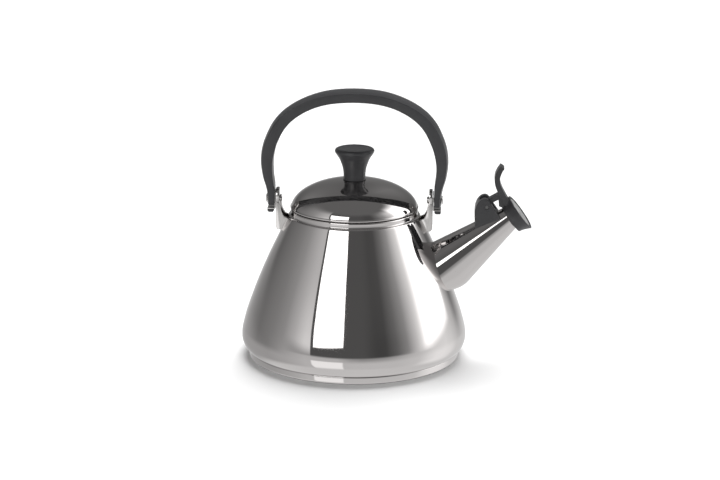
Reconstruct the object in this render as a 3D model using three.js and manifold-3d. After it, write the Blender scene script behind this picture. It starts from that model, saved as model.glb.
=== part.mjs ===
// Stovetop whistling kettle with a folding bail handle, a lift-off lid and a sprung whistle cap.
// Millimetres, +Z up. The origin is the centre of the base's underside and +X points to the spout.
import * as THREE from 'three';
import { mergeVertices } from 'three/addons/utils/BufferGeometryUtils.js';
import Module from 'manifold-3d';

const wasm = await Module();
wasm.setup();

// Driving dimensions
const GAP = 0.3; // clearance between pieces that touch
const WALL = 1.0; // drawn steel of body and lid
const ROUND = 48; // facets round the body and the lid

const BASE = { radius: 92.1, height: 6.5, sheet: 0.7, corner: 2.2 };
const BODY = {
  floorZ: 7.1,
  startRadius: 93.1,
  rollRadius: 14.7,
  rollTurn: 49.6,
  shoulderZ: 125.3,
};
const MOUTH_RADIUS = 49.6; // filling opening
const LID = { centreZ: 130.35, radius: 55.5, rise: 26.85, rimZ: 133.95, skirtRadius: 49.1, skirtBottomZ: 120.5 };
const KNOB = { bottomZ: 157.5, topZ: 184.6, insertRadius: 4, insertTopZ: 170, recessRadius: 14.6 };
const SPOUT = {
  apexX: 175.6,
  apexZ: 157.8,
  tilt: 39,
  halfAngle: 11.1,
  mouthRun: 50,
  rootRun: 132,
  wall: 0.8,
};
const SPOUT_BELLY = { startRun: 115, growth: 0.025 }; // the underside draws in towards the body
const PIVOT_Z = 139.4; // handle pivots, on an axis along X
const PLATE = { inner: 65, outer: 67.8, halfWidth: 7.4, topZ: 149.2, bottomZ: 114.6 };
const CHEEK = { outerY: 8.4, thickness: 1.6 };
const RIVET = { shank: 2.1, hole: 2.5, headRadius: 3.9, tailRadius: 3.1 };
const HANDLE = { topWidth: 26.5, endWidth: 17.5, endZ: 134.6 };
const STRAP = { inner: 68.1, outer: 68.85, topZ: 146, bottomZ: 131.2, reach: 75.3, halfWidth: 7.2 };
const CAP = {
  faceX: 144.3,
  faceZ: 130.1,
  tilt: 36.5,
  length: 10.6,
  faceRadius: 16.9,
  backRadius: 13.5,
  bore: 12,
};
const WHISTLE_PIN = { x: 114.8, z: 135.9, radius: 1.5 };
const HOUSING = { halfWidth: 10, slotHalfWidth: 4.75, slotBackX: 108.6, slotFloorZ: 131.1 };

const STEEL = { color: 0xb9b7b3, roughness: 0.12, metalness: 1 };
const SATIN_STEEL = { color: 0xb0aeaa, roughness: 0.35, metalness: 1 };
const ALUMINIUM = { color: 0xc4c5c7, roughness: 0.5, metalness: 1 };
const BRASS = { color: 0xb08d4a, roughness: 0.4, metalness: 1 };
const BLACK_PLASTIC = { color: 0x2b2b2d, roughness: 0.5, metalness: 0 };
const SEAL_RUBBER = { color: 0x6d6a66, roughness: 0.8, metalness: 0 };

const kettle = new THREE.Group();

function radians(degrees) {
  return THREE.MathUtils.degToRad(degrees);
}

function addMesh(name, geometry, look) {
  const mesh = new THREE.Mesh(geometry, new THREE.MeshStandardMaterial(look));
  mesh.name = name;
  kettle.add(mesh);
  return mesh;
}

// Booleans
function toSolid(geometry) {
  const bare = geometry.clone();
  bare.deleteAttribute('normal');
  bare.deleteAttribute('uv');
  const merged = mergeVertices(bare, 1e-4);
  const vertProperties = new Float32Array(merged.attributes.position.array);
  const triVerts = new Uint32Array(merged.index.array);
  return new wasm.Manifold(new wasm.Mesh({ numProp: 3, vertProperties, triVerts }));
}

function toGeometry(solid) {
  const mesh = solid.getMesh();
  const geometry = new THREE.BufferGeometry();
  geometry.setAttribute('position', new THREE.BufferAttribute(mesh.vertProperties, 3));
  geometry.setIndex(new THREE.BufferAttribute(mesh.triVerts, 1));
  geometry.computeVertexNormals();
  return geometry;
}

function cut(geometry, ...tools) {
  let solid = toSolid(geometry);
  for (const tool of tools) {
    solid = solid.subtract(toSolid(tool));
  }
  return toGeometry(solid);
}

function join(geometry, ...others) {
  let solid = toSolid(geometry);
  for (const other of others) {
    solid = solid.add(toSolid(other));
  }
  return toGeometry(solid);
}

// Basic solids
function latheZ(profile, segments = ROUND) {
  const points = profile.map(([r, z]) => new THREE.Vector2(r, z));
  const geometry = new THREE.LatheGeometry(points, segments);
  geometry.rotateX(Math.PI / 2);
  return facingOut(geometry);
}

function latheRing(profile, segments = ROUND) {
  return latheZ([...profile, profile[0]], segments);
}

function ring(inner, outer, z0, z1, segments) {
  return latheRing([[inner, z0], [outer, z0], [outer, z1], [inner, z1]], segments);
}

// Turns a closed mesh's faces outwards when its signed volume is negative.
function facingOut(geometry) {
  const solid = geometry.index ? geometry : mergeVertices(geometry);
  const position = solid.attributes.position;
  const index = solid.index.array;
  const [a, b, c] = [new THREE.Vector3(), new THREE.Vector3(), new THREE.Vector3()];
  let volume = 0;
  for (let i = 0; i < index.length; i += 3) {
    a.fromBufferAttribute(position, index[i]);
    b.fromBufferAttribute(position, index[i + 1]);
    c.fromBufferAttribute(position, index[i + 2]);
    volume += a.dot(b.cross(c));
  }
  if (volume < 0) {
    for (let i = 0; i < index.length; i += 3) {
      [index[i], index[i + 1]] = [index[i + 1], index[i]];
    }
  }
  return solid;
}

function cylinderX(radius, x0, x1, z, segments = 24) {
  const geometry = new THREE.CylinderGeometry(radius, radius, Math.abs(x1 - x0), segments);
  geometry.rotateZ(Math.PI / 2);
  geometry.translate((x0 + x1) / 2, 0, z);
  return geometry;
}

function cylinderY(radius, halfLength, x, z, segments = 24) {
  const geometry = new THREE.CylinderGeometry(radius, radius, 2 * halfLength, segments);
  geometry.translate(x, 0, z);
  return geometry;
}

function box(x0, x1, y0, y1, z0, z1) {
  const geometry = new THREE.BoxGeometry(x1 - x0, y1 - y0, z1 - z0);
  geometry.translate((x0 + x1) / 2, (y0 + y1) / 2, (z0 + z1) / 2);
  return geometry;
}

function shapeThrough(points) {
  return new THREE.Shape(points.map(([x, z]) => new THREE.Vector2(x, z)));
}

// An outline in the X-Z plane, given thickness along Y between y0 and y1.
function plateXZ(outline, y0, y1, bevel = 0) {
  const shape = outline instanceof THREE.Shape ? outline : shapeThrough(outline);
  const geometry = new THREE.ExtrudeGeometry(shape, {
    depth: y1 - y0 - 2 * bevel,
    bevelEnabled: bevel > 0,
    bevelThickness: bevel,
    bevelSize: bevel,
    bevelOffset: -bevel,
    bevelSegments: 1,
    curveSegments: 8,
  });
  geometry.rotateX(Math.PI / 2);
  geometry.translate(0, y1 - bevel, 0);
  return facingOut(geometry);
}

// Turns a lathe made round +Z so that its axis rises from +X by tilt degrees, and puts its origin at (x, z).
function tiltFromX(geometry, tilt, x, z) {
  geometry.rotateY(Math.PI / 2 - radians(tilt));
  geometry.translate(x, 0, z);
  return geometry;
}

// A chain of straight lines and tangent arcs in the (radius, height) half plane.
class Outline {
  constructor(x, z, heading) {
    this.points = [[x, z]];
    this.heading = heading;
  }

  line(length) {
    const [x, z] = this.points.at(-1);
    const angle = radians(this.heading);
    this.points.push([x + length * Math.cos(angle), z + length * Math.sin(angle)]);
    return this;
  }

  arc(radius, turn, steps) {
    const [x, z] = this.points.at(-1);
    const start = radians(this.heading);
    const side = Math.sign(turn);
    for (let i = 1; i <= steps; i += 1) {
      const angle = start + (radians(turn) * i) / steps;
      const dx = side * radius * (Math.sin(angle) - Math.sin(start));
      const dz = side * radius * (Math.cos(start) - Math.cos(angle));
      this.points.push([x + dx, z + dz]);
    }
    this.heading += turn;
    return this;
  }
}

// Shifts an open chain of points sideways, to the left of its direction of travel.
function offsetLeft(points, distance) {
  return points.map(([x, z], i) => {
    const before = points[Math.max(i - 1, 0)];
    const after = points[Math.min(i + 1, points.length - 1)];
    const into = unit(i === 0 ? [after[0] - x, after[1] - z] : [x - before[0], z - before[1]]);
    const out = unit(i === points.length - 1 ? into : [after[0] - x, after[1] - z]);
    const normal = unit([-(into[1] + out[1]), into[0] + out[0]]);
    const stretch = distance / (normal[0] * -into[1] + normal[1] * into[0]);
    return [x + normal[0] * stretch, z + normal[1] * stretch];
  });
}

function unit([x, z]) {
  const length = Math.hypot(x, z);
  return [x / length, z / length];
}

// Body
function bodyOutline(detail = 1) {
  const outline = new Outline(BODY.startRadius, BODY.floorZ, 90 - BODY.rollTurn);
  outline.arc(BODY.rollRadius, BODY.rollTurn, 4 * detail);
  outline.arc(36, 13, 2 * detail);
  outline.arc(190, 6, 2 * detail);
  outline.arc(500, 6.6, 3 * detail);
  const slope = radians(outline.heading);
  outline.line((BODY.shoulderZ - outline.points.at(-1)[1]) / Math.sin(slope));
  outline.arc(2.5, 160 - outline.heading, 2 * detail);
  outline.arc(1.2, -65, 2 * detail);
  outline.line(1.6);
  outline.arc(0.5, -35, detail);
  outline.arc(1.3, 120, 4 * detail);
  const ledge = outline.points.at(-1)[0] - MOUTH_RADIUS - 1.6;
  outline.line(ledge);
  outline.arc(1.6, 90, 2);
  outline.line(1.5);
  return [[0, BODY.floorZ], ...outline.points];
}

function bodyEnvelope(clearance) {
  const outside = offsetLeft(bodyOutline(), -clearance);
  const top = outside.findIndex(([r, z]) => z > BODY.shoulderZ && r < MOUTH_RADIUS + 5);
  const kept = outside.slice(1, top);
  return latheZ([[0, kept[0][1]], ...kept, [0, kept.at(-1)[1]]]);
}

function makeBodyShell() {
  const outer = bodyOutline();
  const inner = offsetLeft(outer, WALL).reverse();
  const shell = latheZ([...outer, ...inner]);
  return cut(shell, spoutCone(-SPOUT.wall, SPOUT.mouthRun, SPOUT.rootRun + 20));
}

function makeBaseCap() {
  const { radius, height, sheet, corner } = BASE;
  const outer = new Outline(radius - corner, 0, 0).arc(corner, 90, 3).line(height - corner).points;
  const inner = offsetLeft([[0, 0], ...outer], sheet).reverse();
  return latheZ([[0, 0], ...outer, ...inner]);
}

function makeBaseCore() {
  const { radius, height, sheet, corner } = BASE;
  const edge = radius - sheet - GAP;
  const bottom = sheet + GAP;
  return latheZ([[0, bottom], [edge - corner, bottom], [edge, bottom + corner], [edge, height], [0, height]]);
}

// Spout: a straight cone whose run is measured back from its apex.
function spoutRadius(run) {
  return run * Math.tan(radians(SPOUT.halfAngle));
}

function spoutProfile(offset, start, end) {
  const runs = [start, 80, 105, 115, 119, 123, 127].filter((run) => run >= start && run < end);
  return [...runs, end].map((run) => [spoutRadius(run) + offset, -run]);
}

// Draws in the lower side of the cone near its root, by a smooth curve along its run.
function drawInBelly(geometry) {
  const position = geometry.attributes.position;
  for (let i = 0; i < position.count; i += 1) {
    const run = -position.getZ(i);
    const radius = Math.hypot(position.getX(i), position.getY(i));
    if (run > SPOUT_BELLY.startRun && radius > 1) {
      const under = Math.max(0, position.getX(i) / radius);
      const shift = SPOUT_BELLY.growth * (run - SPOUT_BELLY.startRun) ** 2 * under ** 2;
      const scale = (radius - shift) / radius;
      position.setX(i, position.getX(i) * scale);
      position.setY(i, position.getY(i) * scale);
    }
  }
  return geometry;
}

function spoutCone(offset, start, end) {
  const side = spoutProfile(offset, start, end);
  const cone = drawInBelly(latheZ([[0, -start], ...side, [0, -end]], 40));
  return tiltFromX(cone, SPOUT.tilt, SPOUT.apexX, SPOUT.apexZ);
}

function makeSpoutTube() {
  const { mouthRun, rootRun, wall } = SPOUT;
  const outer = spoutProfile(0, mouthRun, rootRun);
  const inner = spoutProfile(-wall, mouthRun, rootRun).reverse();
  const tube = drawInBelly(latheRing([...outer, ...inner], 40));
  tiltFromX(tube, SPOUT.tilt, SPOUT.apexX, SPOUT.apexZ);
  return cut(tube, bodyEnvelope(GAP));
}

// Lid
function lidArch(inset, fromRadius, steps) {
  const a = LID.radius - inset;
  const b = LID.rise - inset;
  const top = Math.acos(fromRadius / a);
  const rim = Math.asin((LID.rimZ - LID.centreZ) / LID.rise);
  const points = [];
  for (let i = 0; i <= steps; i += 1) {
    const angle = top + ((rim - top) * i) / steps;
    points.push([a * Math.cos(angle), LID.centreZ + b * Math.sin(angle)]);
  }
  return points;
}

function makeLidDome() {
  const bead = { x: 54.75, z: 133.1, radius: 0.9 };
  const beadPoints = [35, 0, -45, -90, -150].map((degrees) => [
    bead.x + bead.radius * Math.cos(radians(degrees)),
    bead.z + bead.radius * Math.sin(radians(degrees)),
  ]);
  return latheRing([...lidArch(0, 2.6, 8), ...beadPoints, ...lidArch(WALL, 2.6, 7).reverse()]);
}

function makeLidSkirt() {
  const { skirtRadius, skirtBottomZ } = LID;
  const inner = skirtRadius - 0.8;
  return latheRing([
    [inner, 133.2], [53.4, 133.2], [53.4, 132.5], [skirtRadius, 132.5],
    [skirtRadius, skirtBottomZ + 1.5], [skirtRadius - 0.4, skirtBottomZ], [inner, skirtBottomZ],
  ]);
}

function makeLidKnob() {
  const { bottomZ, topZ, insertRadius, insertTopZ, recessRadius } = KNOB;
  const side = [
    [9.8, 157.1], [9.6, 163], [10.4, 168], [11.7, 172], [13.4, 176], [15.8, 179.2],
    [17.1, 181.4], [17.1, 182.8], [16.5, 183.9], [15.4, topZ],
  ];
  const bore = insertRadius + GAP;
  return latheZ([
    [0, insertTopZ + GAP], [bore, insertTopZ + GAP], [bore, bottomZ], ...side,
    [recessRadius, topZ], [recessRadius - 0.5, topZ - 0.6], [0, topZ - 0.6],
  ], 36);
}

function makeKnobInsert() {
  const { insertRadius, bottomZ, insertTopZ } = KNOB;
  return ring(2.4, insertRadius, bottomZ + GAP, insertTopZ, 20);
}

function makeKnobScrew() {
  const head = [[0, 151.6], [3.6, 151.6], [4.5, 152.6], [4.5, 154.1]];
  const shank = [[2, 154.1], [2, 168.5], [0, 168.5]];
  return latheZ([...head, ...shank], 20);
}

function makeKnobWasher() {
  return ring(2.4, 8, 154.4, 155.3, 24);
}

// Brackets and pivots: side is +1 at the spout and -1 at the back.
function makeBracket(side) {
  const { inner, outer, halfWidth, topZ, bottomZ } = PLATE;
  const round = cylinderX(halfWidth, side * inner, side * outer, topZ - halfWidth, 32);
  const [x0, x1] = [Math.min(side * inner, side * outer), Math.max(side * inner, side * outer)];
  const plate = box(x0, x1, -halfWidth, halfWidth, bottomZ, topZ - halfWidth);
  const outline = new THREE.Shape();
  outline.moveTo(side * outer, 137);
  outline.lineTo(side * outer, bottomZ + 1);
  outline.lineTo(side * 66.4, 113.4);
  outline.lineTo(side * 60, 110);
  outline.lineTo(side * 54, 122);
  outline.lineTo(side * 58.5, 123);
  outline.quadraticCurveTo(side * 62.6, 126.5, side * 63.2, 131);
  outline.quadraticCurveTo(side * 63.6, 136.5, side * 65.6, 137);
  const { outerY, thickness } = CHEEK;
  const cheeks = [-1, 1].map((y) => {
    const [a, b] = [y * outerY, y * (outerY - thickness)];
    return plateXZ(outline, Math.min(a, b), Math.max(a, b));
  });
  const hole = cylinderX(RIVET.hole, side * (inner - 5), side * (outer + 5), PIVOT_Z);
  return cut(join(plate, round, ...cheeks), hole, bodyEnvelope(GAP));
}

function makeRivet(side) {
  const profile = [
    [0, 62.8], [2.3, 62.9], [RIVET.tailRadius, 63.6], [RIVET.tailRadius, 64.7], [RIVET.shank, 64.7],
    [RIVET.shank, 75.7], [RIVET.headRadius, 75.7], [RIVET.headRadius - 0.3, 76.4], [2.4, 76.9], [0, 77],
  ];
  const rivet = latheZ(profile, 24);
  rivet.rotateY((side * Math.PI) / 2);
  rivet.translate(0, 0, PIVOT_Z);
  return rivet;
}

// The steel end strap runs down the inside of the handle's end and turns out under it.
function makeHandleStrap(side) {
  const { inner, outer, topZ, bottomZ, reach, halfWidth } = STRAP;
  const sheet = outer - inner;
  const outline = [
    [inner, topZ], [inner, bottomZ + 1.2], [inner + 1.2, bottomZ], [reach, bottomZ],
    [reach, bottomZ + sheet], [outer + 0.6, bottomZ + sheet], [outer, bottomZ + sheet + 0.6], [outer, topZ],
  ].map(([x, z]) => [side * x, z]);
  const hole = cylinderX(RIVET.hole, side * 60, side * 72, PIVOT_Z);
  return cut(plateXZ(outline, -halfWidth, halfWidth), hole);
}

// A small moulded pad under the turned-out end of the strap.
function makeStrapPad(side) {
  const { reach, bottomZ, halfWidth } = STRAP;
  const top = bottomZ - GAP;
  const low = top - 2.6;
  const outline = [[69.5, top], [69.9, top - 2], [70.7, low], [74.3, low], [75, top - 2], [reach, top]];
  return plateXZ(outline.map(([x, z]) => [side * x, z]), -halfWidth, halfWidth);
}

// Handle: a bail whose thickness and width change smoothly from its top to its ends.
function handleMiddle() {
  return new THREE.SplineCurve([
    new THREE.Vector2(0, 231.4), new THREE.Vector2(18.6, 230.2), new THREE.Vector2(33.3, 226.8),
    new THREE.Vector2(46.4, 221.1), new THREE.Vector2(57.4, 213.6), new THREE.Vector2(65.3, 204.7),
    new THREE.Vector2(70.6, 194.6), new THREE.Vector2(74.2, 184.5), new THREE.Vector2(75.9, 173),
    new THREE.Vector2(75.1, 160.5), new THREE.Vector2(73.1, 150.5), new THREE.Vector2(72.35, 142.5),
    new THREE.Vector2(72.25, HANDLE.endZ),
  ]);
}

function handleThickness(t) {
  const side = THREE.MathUtils.smoothstep(t, 0.15, 0.5);
  const end = THREE.MathUtils.smoothstep(t, 0.57, 0.97);
  return 9 + 2.3 * side - 5.1 * end;
}

function handleEdge(sign, steps) {
  const middle = handleMiddle();
  const points = [];
  for (let i = 0; i <= steps; i += 1) {
    const t = i / steps;
    const centre = middle.getPoint(t);
    const along = middle.getTangent(t);
    const half = (sign * handleThickness(t)) / 2;
    const lateral = i === 0 ? 0 : along.y;
    points.push([centre.x - lateral * half, centre.y + along.x * half]);
  }
  return points;
}

function handleWidth(z) {
  const rise = THREE.MathUtils.smoothstep(z, HANDLE.endZ, 205);
  return HANDLE.endWidth + (HANDLE.topWidth - HANDLE.endWidth) * rise;
}

function makeHandleGrip() {
  const outer = handleEdge(1, 18);
  const inner = handleEdge(-1, 18);
  const mirror = (points) => points.slice(1).map(([x, z]) => [-x, z]);
  const outside = [...mirror(outer).reverse(), ...outer];
  const inside = [...inner.reverse(), ...mirror(inner.toReversed())];
  const outline = [...outside, ...inside];
  const bevelled = plateXZ(outline, -HANDLE.topWidth / 2, HANDLE.topWidth / 2, 0.9);
  const position = bevelled.attributes.position;
  for (let i = 0; i < position.count; i += 1) {
    position.setY(i, (position.getY(i) * handleWidth(position.getZ(i))) / HANDLE.topWidth);
  }
  const holes = [-1, 1].map((side) => cylinderX(RIVET.hole, side * 60, side * 82, PIVOT_Z));
  return cut(bevelled, ...holes);
}

// Whistle hinge
function makeWhistleHousing() {
  const outline = new THREE.Shape();
  outline.moveTo(105.2, 111);
  outline.lineTo(104.4, 125.9);
  outline.bezierCurveTo(104, 132.9, 105, 140.1, 111, 143.1);
  outline.bezierCurveTo(113.5, 144.1, 116, 143.3, 117.4, 140.5);
  outline.lineTo(126.4, 127.5);
  outline.lineTo(124, 111);
  const { halfWidth, slotHalfWidth, slotBackX, slotFloorZ } = HOUSING;
  const block = plateXZ(outline, -halfWidth, halfWidth, 0.7);
  const slot = box(slotBackX, 140, -slotHalfWidth, slotHalfWidth, slotFloorZ, 150);
  const pinHole = cylinderY(WHISTLE_PIN.radius + GAP, halfWidth + 5, WHISTLE_PIN.x, WHISTLE_PIN.z, 20);
  const lugPocket = box(109.7, 119.3, -2.3, 2.3, 105, 127.7);
  return cut(block, slot, pinHole, lugPocket, spoutCone(GAP, SPOUT.mouthRun, SPOUT.rootRun));
}

function makeHousingLug() {
  return cut(box(110, 119, -2, 2, 113, 127.4), spoutCone(GAP, SPOUT.mouthRun, SPOUT.rootRun));
}

function makeWhistlePin() {
  return cylinderY(WHISTLE_PIN.radius, HOUSING.halfWidth - 0.5, WHISTLE_PIN.x, WHISTLE_PIN.z, 20);
}

// Torsion spring: three turns round the pin beside the cap's arm, with both ends as short tails.
function makeWhistleSpring() {
  const turns = 3;
  const steps = 54;
  const radius = 2.75;
  const pitch = 1.0;
  const startY = 1.0;
  const points = [];
  for (let i = 0; i <= steps; i += 1) {
    const angle = (turns * 2 * Math.PI * i) / steps;
    const x = WHISTLE_PIN.x + radius * Math.cos(angle);
    const y = startY + (pitch * turns * i) / steps;
    const z = WHISTLE_PIN.z + radius * Math.sin(angle);
    points.push(new THREE.Vector3(x, y, z));
  }
  const wire = new THREE.Shape();
  wire.absarc(0, 0, 0.4, 0, 2 * Math.PI, false);
  const path = new THREE.CatmullRomCurve3(points);
  return facingOut(new THREE.ExtrudeGeometry(wire, { steps: 60, extrudePath: path, curveSegments: 3 }));
}

// Whistle cap: lengths run from the back edge (0) to the front face.
function capPlace(geometry) {
  const back = CAP.length;
  const x = CAP.faceX - back * Math.cos(radians(CAP.tilt));
  const z = CAP.faceZ - back * Math.sin(radians(CAP.tilt));
  return tiltFromX(geometry, CAP.tilt, x, z);
}

function thumbLever() {
  const middle = new THREE.SplineCurve([
    new THREE.Vector2(127.9, 170.6), new THREE.Vector2(125.4, 166.8), new THREE.Vector2(123.6, 161.6),
    new THREE.Vector2(123.9, 155.9), new THREE.Vector2(125.8, 150.5), new THREE.Vector2(128.4, 145.5),
    new THREE.Vector2(131.6, 139.9), new THREE.Vector2(134.6, 134.9),
  ]);
  const edge = (sign) => [...Array(13).keys()].map((i) => {
    const centre = middle.getPoint(i / 12);
    const along = middle.getTangent(i / 12);
    const half = sign * 2.4;
    return [centre.x - along.y * half, centre.y + along.x * half];
  });
  return plateXZ([...edge(1), ...edge(-1).reverse()], -6.5, 6.5, 0.6);
}

function makeWhistleCap() {
  const { length, faceRadius, backRadius, bore } = CAP;
  const cup = capPlace(latheZ([
    [0, 4.5], [bore, 4.5], [bore, 0], [backRadius, 0], [backRadius + 0.5, 3], [backRadius + 1.6, 6.2],
    [faceRadius - 0.4, 9], [faceRadius, 9.9], [faceRadius - 0.5, length], [14.6, length],
    [14.6, length - 1.6], [0, length - 1.6],
  ], 40));
  const chamber = capPlace(latheZ([[0, 3], [9, 3], [9, 12], [0, 12]], 32));
  const arm = plateXZ([
    [112.4, 138.5], [116.6, 142.3], [124.4, 146.8], [130, 143.4], [131, 138], [128.4, 134.4], [125.4, 135.6],
    [124.8, 141.4], [121, 139.5], [118.4, 136.9], [118, 133.5], [114.8, 131.8], [111.6, 133.3], [110.8, 136.1],
  ], -4.3, 4.3);
  const { x, z, radius } = WHISTLE_PIN;
  const pinHole = cylinderY(radius + GAP, 8, x, z, 20);
  const springPocket = box(104, 119.2, 0.4, 10, 126, 140.3);
  const behind = capPlace(latheZ([[0, -20], [bore, -20], [bore, 4.5], [0, 4.5]], 40));
  return cut(join(cup, cut(thumbLever(), behind), cut(arm, springPocket, behind)), chamber, pinHole);
}

function makeWhistleDisc(fromBack) {
  const outerRadius = fromBack > 6 ? 14.2 : 11.6;
  return capPlace(ring(1.8, outerRadius, fromBack, fromBack + 0.6, 32));
}

function makeWhistleSeal() {
  return capPlace(ring(9.3, 11.6, 3.1, 3.5, 32));
}

addMesh('body_shell', makeBodyShell(), STEEL);
addMesh('base_cap', makeBaseCap(), STEEL);
addMesh('base_core', makeBaseCore(), ALUMINIUM);
addMesh('spout_tube', makeSpoutTube(), STEEL);
addMesh('lid_dome', makeLidDome(), STEEL);
addMesh('lid_skirt', makeLidSkirt(), SATIN_STEEL);
addMesh('lid_knob', makeLidKnob(), BLACK_PLASTIC);
addMesh('knob_insert', makeKnobInsert(), BRASS);
addMesh('knob_screw', makeKnobScrew(), SATIN_STEEL);
addMesh('knob_washer', makeKnobWasher(), SATIN_STEEL);
addMesh('handle_grip', makeHandleGrip(), BLACK_PLASTIC);
for (const [place, side] of [['spout_side', 1], ['back_side', -1]]) {
  addMesh(`handle_bracket_${place}`, makeBracket(side), SATIN_STEEL);
  addMesh(`pivot_rivet_${place}`, makeRivet(side), SATIN_STEEL);
  addMesh(`handle_end_strap_${place}`, makeHandleStrap(side), SATIN_STEEL);
  addMesh(`strap_pad_${place}`, makeStrapPad(side), BLACK_PLASTIC);
}
addMesh('whistle_housing', makeWhistleHousing(), BLACK_PLASTIC);
addMesh('housing_lug', makeHousingLug(), SATIN_STEEL);
addMesh('whistle_pin', makeWhistlePin(), SATIN_STEEL);
addMesh('whistle_spring', makeWhistleSpring(), SATIN_STEEL);
addMesh('whistle_cap', makeWhistleCap(), BLACK_PLASTIC);
addMesh('whistle_disc_front', makeWhistleDisc(9.3), STEEL);
addMesh('whistle_disc_back', makeWhistleDisc(3.7), STEEL);
addMesh('whistle_seal', makeWhistleSeal(), SEAL_RUBBER);

export default kettle;
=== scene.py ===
"""Looks of the stovetop whistling kettle, built round its CAD frame. Shape sizes are in millimetres."""

import math

import bmesh
import bpy
import numpy as np
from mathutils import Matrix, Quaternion, Vector


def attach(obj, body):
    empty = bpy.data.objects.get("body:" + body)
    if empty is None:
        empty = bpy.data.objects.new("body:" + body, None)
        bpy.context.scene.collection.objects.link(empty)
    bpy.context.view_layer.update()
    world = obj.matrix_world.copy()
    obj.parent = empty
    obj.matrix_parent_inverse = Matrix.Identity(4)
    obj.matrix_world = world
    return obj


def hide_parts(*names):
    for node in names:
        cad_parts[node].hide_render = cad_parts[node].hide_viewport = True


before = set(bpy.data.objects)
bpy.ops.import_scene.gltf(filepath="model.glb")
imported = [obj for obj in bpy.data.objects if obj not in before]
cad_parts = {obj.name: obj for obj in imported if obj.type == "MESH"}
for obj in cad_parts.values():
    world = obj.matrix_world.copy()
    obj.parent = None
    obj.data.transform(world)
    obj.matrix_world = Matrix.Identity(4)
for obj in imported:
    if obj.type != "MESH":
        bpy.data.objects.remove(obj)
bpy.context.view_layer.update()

MM = 0.001

# Driving dimensions, in millimetres, as in the CAD part
FOOT = {"radius": 93.1, "z": 7.1, "roll_radius": 14.7, "roll_turn": 49.6}
BASE = {"radius": 92.1, "height": 6.5, "sheet": 0.7, "corner": 2.2}
WALL = 1.0
MOUTH_RADIUS = 49.6
LID = {"centre_z": 130.35, "radius": 55.5, "rise": 26.85, "rim_z": 133.95, "skirt": 49.1, "skirt_z": 120.5}
KNOB_TOP_Z = 184.6
SPOUT = {"apex_x": 175.6, "apex_z": 157.8, "tilt": 39.0, "half_angle": 11.1, "mouth": 50.0, "wall": 0.8}
BELLY = {"start": 115.0, "growth": 0.025}
PIVOT_Z = 139.4
PLATE = {"inner": 65.0, "outer": 67.8, "half_width": 7.4, "top_z": 149.2, "bottom_z": 114.6}
CHEEK = {"outer_y": 8.4, "thickness": 1.6}
STRAP = {"inner": 68.1, "outer": 68.85, "top_z": 146.0, "bottom_z": 131.2, "reach": 75.3, "half_width": 7.2}
HANDLE = {"top_width": 26.5, "end_width": 17.5, "end_z": 134.6}
CAP = {"face_x": 144.3, "face_z": 130.1, "tilt": 36.5, "length": 10.6}
CAP_RADIUS = {"face": 16.9, "back": 13.5, "bore": 12.0}
PIN = {"x": 114.8, "z": 135.9, "radius": 1.5}
HOUSING = {"half_width": 10.0, "slot": 4.75, "slot_x": 108.6, "slot_z": 131.1}
SHOULDER_Z = 125.3

FINE = 192  # facets round the body and the lid

# The view, in metres and degrees: the camera aims at a height on the axis, a little to the side of it
CAMERA = {
    "lens": 118.68, "azimuth": 2.5, "distance": 2.0, "height": 0.6406, "roll": 0.3,
    "target_side": 0.00502, "target_z": 0.10239,
}
LEAN = 0.215  # how far the left softbox tips over: degrees of azimuth for each degree of elevation


# ---------------------------------------------------------------- outlines

class Outline:
    """A chain of straight lines and tangent arcs in the (radius, height) half plane."""

    def __init__(self, x, z, heading):
        self.points = [(x, z)]
        self.heading = heading

    def line(self, length, steps=1):
        x, z = self.points[-1]
        angle = math.radians(self.heading)
        for i in range(1, steps + 1):
            run = length * i / steps
            self.points.append((x + run * math.cos(angle), z + run * math.sin(angle)))
        return self

    def arc(self, radius, turn, steps):
        x, z = self.points[-1]
        start = math.radians(self.heading)
        side = math.copysign(1, turn)
        for i in range(1, steps + 1):
            angle = start + math.radians(turn) * i / steps
            dx = side * radius * (math.sin(angle) - math.sin(start))
            dz = side * radius * (math.cos(start) - math.cos(angle))
            self.points.append((x + dx, z + dz))
        self.heading += turn
        return self


def offset_left(points, distance):
    """Shifts an open chain of points sideways, to the left of its direction of travel."""
    p = np.array(points, float)
    ahead = np.diff(p, axis=0)
    ahead /= np.linalg.norm(ahead, axis=1)[:, None]
    into = np.vstack([ahead[:1], ahead])
    out = np.vstack([ahead, ahead[-1:]])
    normal = np.stack([-(into[:, 1] + out[:, 1]), into[:, 0] + out[:, 0]], 1)
    normal /= np.linalg.norm(normal, axis=1)[:, None]
    stretch = distance / (normal[:, 0] * -into[:, 1] + normal[:, 1] * into[:, 0])
    return [tuple(q) for q in p + normal * stretch[:, None]]


def spline(points, count):
    """Smooth curve through the points (uniform Catmull-Rom), as count + 1 points."""
    p = np.array(points, float)
    last = len(p) - 1
    result = []
    for k in range(count + 1):
        t = last * k / count
        i = min(int(t), last - 1)
        w = t - i
        a, b, c, d = p[max(i - 1, 0)], p[i], p[i + 1], p[min(i + 2, last)]
        v0, v1 = (c - a) / 2, (d - b) / 2
        cube = (2 * b - 2 * c + v0 + v1) * w**3 + (-3 * b + 3 * c - 2 * v0 - v1) * w**2
        result.append(cube + v0 * w + b)
    return np.array(result)


def tangents(points):
    along = np.gradient(points, axis=0)
    return along / np.linalg.norm(along, axis=1)[:, None]


def smoothstep(x, low, high):
    t = min(max((x - low) / (high - low), 0.0), 1.0)
    return t * t * (3 - 2 * t)


# ---------------------------------------------------------------- meshes

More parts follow.
